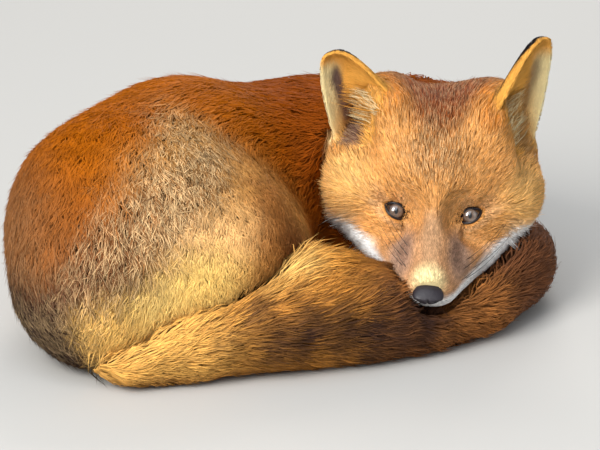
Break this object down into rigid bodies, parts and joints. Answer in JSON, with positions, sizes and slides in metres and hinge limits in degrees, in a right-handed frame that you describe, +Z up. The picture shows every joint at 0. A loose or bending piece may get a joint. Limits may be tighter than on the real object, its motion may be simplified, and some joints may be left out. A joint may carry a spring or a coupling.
{
  "type": "curled red fox model",
  "caption": "Life-size still model of a red fox lying curled on its side, awake, head facing forward with its chin on its brush",
  "frame": {"origin": "middle of the bounding box, on the floor", "axes": "+X towards the animal's left side of the head, across the view; -Y towards the viewer and the muzzle; +Z up"},
  "size_m": [0.401, 0.3158, 0.2139],
  "materials": {
    "face_coat": "short orange-tan fur with white lips and cheeks",
    "ear_coat": "cream fur inside, black fur behind",
    "flank_coat": "long deep orange fur",
    "haunch_coat": "grizzled grey-brown fur with cream tips",
    "brush_coat": "long loose fur, golden to dark brown",
    "stocking_coat": "short black fur",
    "eye": "clear cornea over a grey-amber iris",
    "nose_pad": "dark moist pebbled skin"
  },
  "bodies": {
    "root": {"head": "face_coat", "ear_right": "ear_coat", "ear_left": "ear_coat", "eye_right": "eye", "eye_left": "eye", "nose": "nose_pad", "rump": "haunch_coat", "loin": "flank_coat", "chest": "flank_coat", "neck": "flank_coat", "thigh_right": "haunch_coat", "tail_root": "brush_coat", "tail_middle": "brush_coat", "tail_brush": "brush_coat", "tail_tip": "brush_coat", "hind_foot_right": "stocking_coat", "hind_foot_left": "stocking_coat", "foreleg_right": "stocking_coat", "foreleg_left": "stocking_coat"}
  },
  "joints": []
}
